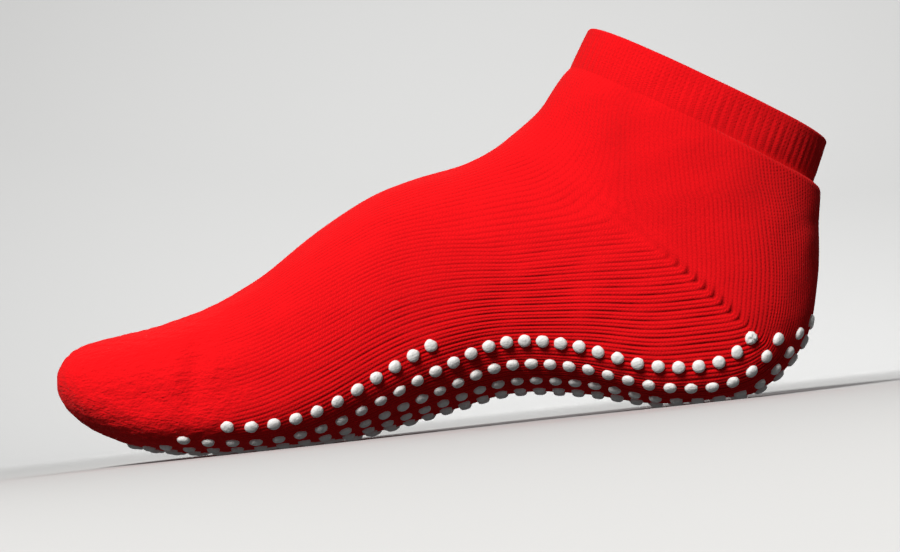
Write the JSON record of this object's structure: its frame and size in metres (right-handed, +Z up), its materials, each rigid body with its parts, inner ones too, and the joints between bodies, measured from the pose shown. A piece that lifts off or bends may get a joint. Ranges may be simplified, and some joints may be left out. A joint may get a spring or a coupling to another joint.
{
  "type": "slipper sock",
  "caption": "Low-cut knitted slipper sock in the form of a worn right foot, with a ribbed cuff and rows of round rubber grip dots under its sole.",
  "frame": {"origin": "on the floor, under the middle of the sock's box", "axes": "+X towards the heel, so the toe points along -X; +Z up; the inner, arched side of the foot faces -Y"},
  "size_m": [0.2574, 0.096, 0.1275],
  "materials": {
    "knit": "soft brushed cotton knit, matt, with fine raised wales",
    "rib": "elastic ribbed knit, matt",
    "grip": "matt white silicone print, slightly domed"
  },
  "bodies": {
    "root": {"knit_foot": "knit", "rib_cuff": "rib"}
  },
  "joints": []
}
